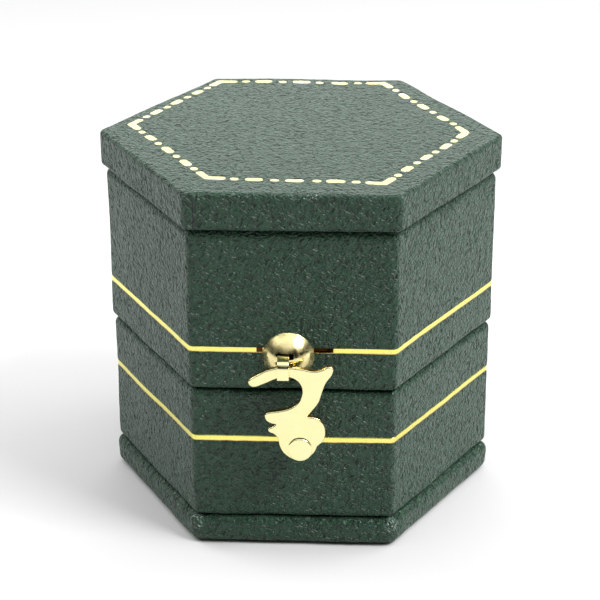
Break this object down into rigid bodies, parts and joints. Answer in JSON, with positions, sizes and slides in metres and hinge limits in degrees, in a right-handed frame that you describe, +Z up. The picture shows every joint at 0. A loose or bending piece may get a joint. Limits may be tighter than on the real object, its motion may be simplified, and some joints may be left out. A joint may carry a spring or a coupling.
{
  "type": "ring box",
  "caption": "Small hexagonal ring box covered in green leatherette, with a hinged lid, a gilt swinging hook on a domed keeper, and a velvet ring cushion inside.",
  "frame": {"origin": "centre of the hexagonal underside, on the surface the box stands on", "axes": "+Z up, -Y out of the front face with the clasp, +X to the viewer's right; two corners of the hexagon lie on the X axis"},
  "size_m": [0.056, 0.0538, 0.0522],
  "materials": {
    "leatherette": "dark green crinkle-grained leatherette, satin",
    "board": "dense grey board",
    "felt": "dark green felt paper",
    "velvet": "short-pile cream velvet",
    "satin": "cream satin",
    "foam": "white foam",
    "brass": "polished gilt"
  },
  "bodies": {
    "tray": {"base_underlay": "felt", "base_cover": "leatherette", "base_board": "board", "tray_shell": "board", "tray_cover": "leatherette", "tray_liner": "velvet", "pad_block": "foam", "pad_platform": "velvet", "ring_roll_front": "velvet", "ring_roll_back": "velvet", "hinge_leaf_tray": "brass", "hinge_nail_tray_1": "brass", "hinge_nail_tray_2": "brass", "hinge_nail_tray_3": "brass", "hinge_pin": "brass", "latch_rivet": "brass", "latch_sleeve": "brass", "latch_burr": "brass"},
    "lid": {"lid_shell": "board", "lid_cover": "leatherette", "lid_liner": "satin", "lid_pad": "satin", "top_cover": "leatherette", "top_board": "board", "hinge_leaf_lid": "brass", "hinge_nail_lid_1": "brass", "hinge_nail_lid_2": "brass", "hinge_nail_lid_3": "brass", "keeper_dome": "brass", "keeper_plate": "brass", "keeper_strap": "brass"},
    "hook": {"latch_hook": "brass"}
  },
  "joints": [
    {"name": "lid_hinge", "type": "hinge", "parent": "tray", "child": "lid", "pos_m": [0, 0.02473, 0.0238], "axis": [-1, 0, 0], "range_deg": [0, 105]},
    {"name": "hook_pivot", "type": "hinge", "parent": "tray", "child": "hook", "pos_m": [0.0011, -0.02742, 0.017], "axis": [0, 1, 0], "range_deg": [0, 75]}
  ]
}
